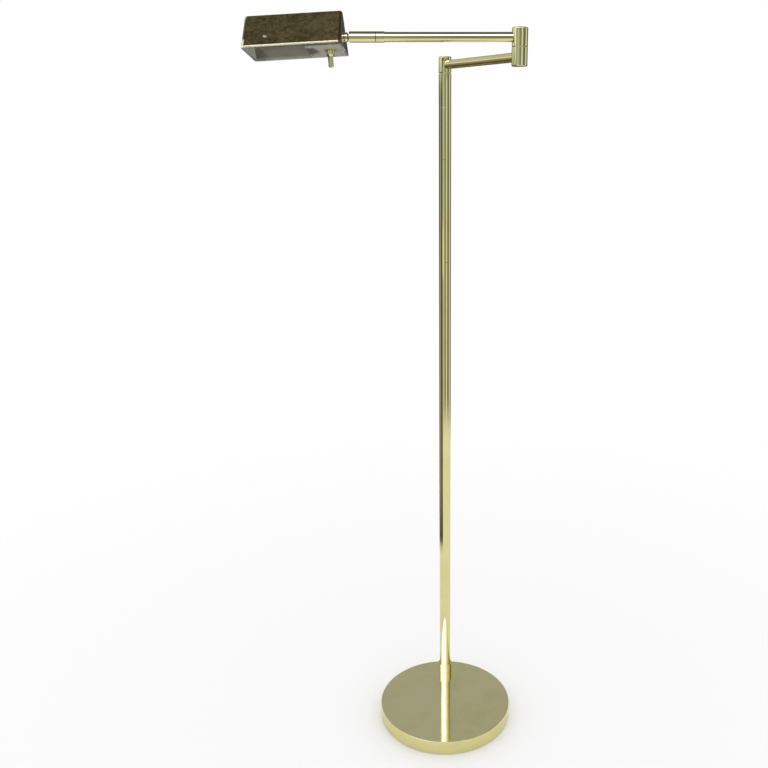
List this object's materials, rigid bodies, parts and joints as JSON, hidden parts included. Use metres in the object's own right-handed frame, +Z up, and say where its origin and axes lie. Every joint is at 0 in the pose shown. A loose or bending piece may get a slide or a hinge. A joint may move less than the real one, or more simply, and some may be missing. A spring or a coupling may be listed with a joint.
{
  "type": "swing arm floor lamp",
  "caption": "Polished brass floor lamp with a round weighted base, a rear-set pole, a two-part swing arm and a tent-shaped shade that rolls and nods, with a rotary dimmer knob.",
  "frame": {"origin": "centre of the round base on the floor", "axes": "+Z up along the pole, +Y towards the pole and the cord inlet at the rear of the base, +X to the viewer's right when the lamp is seen from the front"},
  "size_m": [0.3754, 0.2276, 1.1275],
  "materials": {
    "polished_brass": "polished, with light tarnish",
    "shade_brass": "polished, with mottled tarnish",
    "turned_brass": "as turned",
    "plated_steel": "zinc plated",
    "cast_iron": "rough casting",
    "felt": "felt",
    "reflector_aluminium": "satin",
    "grey_enamel": "satin enamel",
    "black_plastic": "moulded",
    "nylon": "moulded",
    "ceramic": "unglazed ceramic",
    "bulb_glass": "clear"
  },
  "bodies": {
    "stand": {"base_pad": "felt", "base_weight": "cast_iron", "base_cover": "polished_brass", "cord_bushing": "black_plastic", "base_washer": "plated_steel", "base_nut": "plated_steel", "tie_rod": "plated_steel", "foot_collar": "polished_brass", "pole_tube": "polished_brass", "rod_coupling": "turned_brass", "swivel_socket": "polished_brass", "swivel_washer": "turned_brass"},
    "lower_arm": {"swivel_spindle": "plated_steel", "spindle_ring": "plated_steel", "spindle_spring": "plated_steel", "knuckle": "polished_brass", "knuckle_plug": "polished_brass", "lower_arm_tube": "polished_brass", "elbow_lower": "polished_brass", "elbow_plug": "polished_brass", "elbow_spindle": "plated_steel", "elbow_washer": "turned_brass", "elbow_ring": "plated_steel", "elbow_spring": "plated_steel"},
    "upper_arm": {"elbow_upper": "polished_brass", "elbow_cap": "polished_brass", "upper_arm_tube": "polished_brass", "arm_collar": "polished_brass"},
    "sleeve": {"swivel_sleeve": "polished_brass", "sleeve_screw": "plated_steel", "ball_cup": "nylon", "cup_spring": "plated_steel"},
    "head": {"neck_stud": "turned_brass", "neck_ring": "polished_brass", "neck_nut": "plated_steel", "shade": "shade_brass", "reflector": "reflector_aluminium", "box_wall_plate": "grey_enamel", "switch_plate": "grey_enamel", "plate_screws": "plated_steel", "lamp_holder": "ceramic", "bulb_cap": "plated_steel", "bulb_glass": "bulb_glass", "dimmer": "black_plastic", "dimmer_nut": "turned_brass"},
    "knob": {"dimmer_shaft": "plated_steel", "dimmer_knob": "polished_brass"}
  },
  "joints": [
    {"name": "pole_swivel", "type": "hinge", "parent": "stand", "child": "lower_arm", "pos_m": [0, 0.082, 1.0695], "axis": [0, 0, 1], "range_deg": [-170, 170]},
    {"name": "elbow_swivel", "type": "hinge", "parent": "lower_arm", "child": "upper_arm", "pos_m": [0.09961, -0.06793, 1.0945], "axis": [0, 0, 1], "range_deg": [-45, 285]},
    {"name": "shade_roll", "type": "hinge", "parent": "upper_arm", "child": "sleeve", "pos_m": [-0.12469, -0.06793, 1.0945], "axis": [-1, 0, 0], "range_deg": [-126, 113]},
    {"name": "shade_nod", "type": "hinge", "parent": "sleeve", "child": "head", "pos_m": [-0.12469, -0.06793, 1.0945], "axis": [0, -0.9932, 0.1167], "range_deg": [-15, 8]},
    {"name": "dimmer_turn", "type": "hinge", "parent": "head", "child": "knob", "pos_m": [-0.1526, -0.07104, 1.06803], "axis": [0.0576, -0.1165, -0.9915], "range_deg": [0, 300]}
  ]
}
